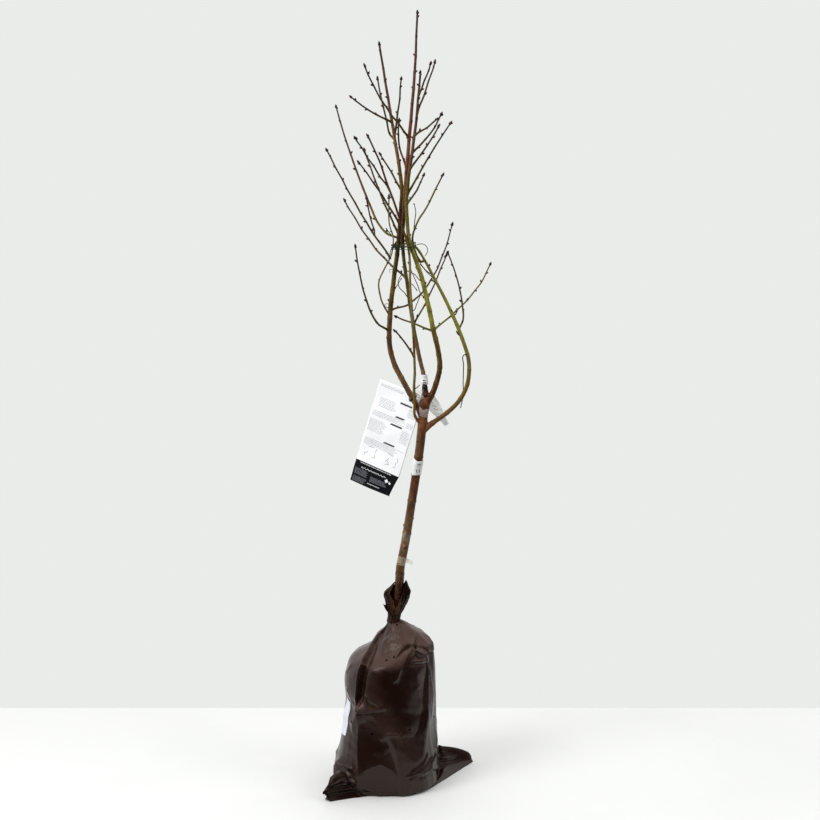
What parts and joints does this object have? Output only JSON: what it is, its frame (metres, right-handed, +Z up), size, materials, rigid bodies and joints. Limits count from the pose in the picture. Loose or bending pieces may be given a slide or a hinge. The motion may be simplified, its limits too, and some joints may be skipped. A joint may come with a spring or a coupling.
{
  "type": "sapling with root ball",
  "caption": "Bare winter sapling: a leaning trunk forks into boughs that a string tie draws together under thin upright shoots, on a root ball wrapped in a tied plastic bag.",
  "frame": {"origin": "middle of the flat underside of the wrapped root ball, where it rests on the floor", "axes": "+Z up along the plant, +X towards the wide folded corner of the bag that lies on the right in the front view, the front faces -Y"},
  "size_m": [0.3349, 0.2357, 1.5291],
  "materials": {
    "bark": "smooth young bark, brown to olive, with pale lenticels",
    "olive_bark": "smooth olive bark",
    "green_bark": "smooth yellow-green bark",
    "twig_bark": "dark purple-brown bark with darker buds",
    "bag_film": "thin glossy dark brown film, folded and creased",
    "paper": null,
    "clear_film": "thin whitish translucent film",
    "string": "dark green-grey twine"
  },
  "bodies": {
    "root": {"trunk": "bark", "left_bough_lower": "bark", "left_bough_upper": "bark", "left_leader": "bark", "right_bough_lower": "bark", "right_bough_upper": "bark", "right_leader": "bark", "centre_bough": "bark", "tall_leader": "bark", "far_right_bough_lower": "olive_bark", "far_right_bough_upper": "olive_bark", "crossing_leader": "olive_bark", "front_stem": "green_bark", "front_leader": "green_bark", "right_fork": "green_bark", "right_fork_leader": "green_bark", "tucked_shoot": "twig_bark", "tucked_leader": "twig_bark", "low_left_shoot": "twig_bark", "long_left_shoot": "twig_bark", "long_left_side_shoot": "twig_bark", "back_left_shoot": "twig_bark", "inner_left_shoot": "twig_bark", "inner_right_shoot": "twig_bark", "low_right_shoot_1": "twig_bark", "low_right_shoot_2": "twig_bark", "low_right_shoot_3": "twig_bark", "low_right_shoot_4": "twig_bark", "middle_left_shoot_1": "twig_bark", "middle_left_shoot_2": "twig_bark", "middle_left_shoot_3": "twig_bark", "middle_left_shoot_4": "twig_bark", "middle_right_shoot_1": "twig_bark", "middle_right_shoot_2": "twig_bark", "middle_right_shoot_3": "twig_bark", "middle_right_shoot_4": "twig_bark", "middle_right_shoot_5": "twig_bark", "top_left_shoot_1": "twig_bark", "top_left_shoot_2": "twig_bark", "top_left_shoot_3": "twig_bark", "top_inner_shoot_1": "twig_bark", "top_inner_shoot_2": "twig_bark", "top_right_shoot_1": "twig_bark", "top_right_shoot_2": "twig_bark", "root_ball_bag": "bag_film", "bag_corner_left": "bag_film", "bag_corner_right": "bag_film", "bag_collar": "bag_film", "bag_label": "paper", "trunk_label": "paper", "fork_label": "paper", "care_card": "paper", "trunk_tape": "clear_film", "film_tag": "clear_film", "card_strap": "string", "string_tie": "string", "string_end": "string"}
  },
  "joints": []
}
